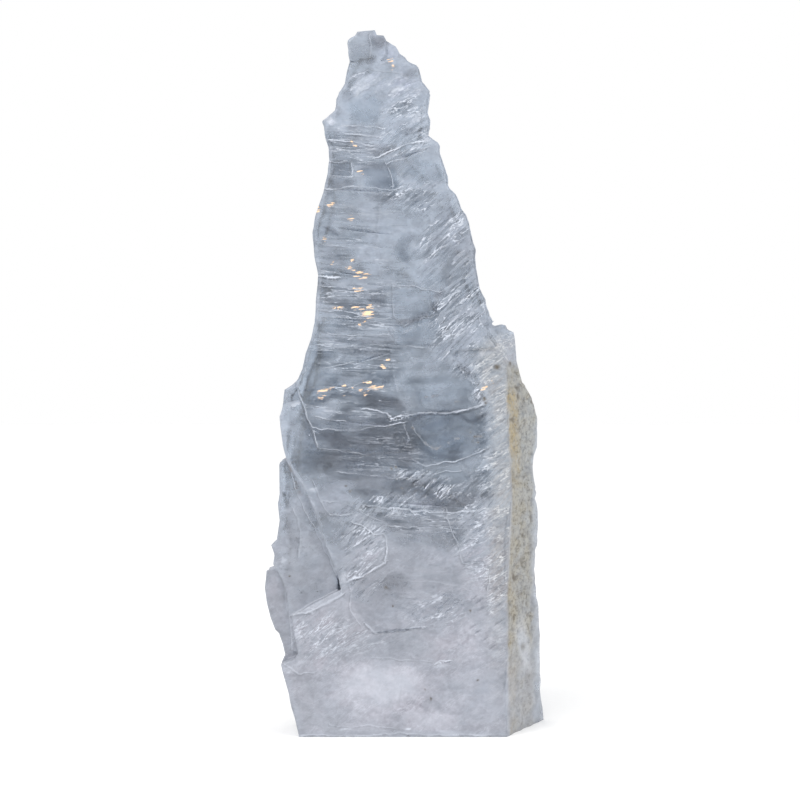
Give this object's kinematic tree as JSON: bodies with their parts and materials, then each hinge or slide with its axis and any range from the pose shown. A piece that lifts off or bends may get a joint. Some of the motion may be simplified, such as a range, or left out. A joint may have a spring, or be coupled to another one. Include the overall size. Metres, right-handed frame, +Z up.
{
  "type": "selenite crystal blade",
  "caption": "Upright broken blade of clear selenite crystal with flat cleavage faces, stepped ledges, a rough side face and a flat foot.",
  "frame": {"origin": "on the ground under the middle of the blade's box", "axes": "+Z up along the blade, -Y out of the wide front cleavage face, +X to the rough prism face"},
  "size_m": [0.0816, 0.0256, 0.1996],
  "materials": {
    "clear_selenite": "clear grey-blue crystal, cloudy veils, satin cleavage faces"
  },
  "bodies": {
    "root": {"selenite_blade": "clear_selenite"}
  },
  "joints": []
}
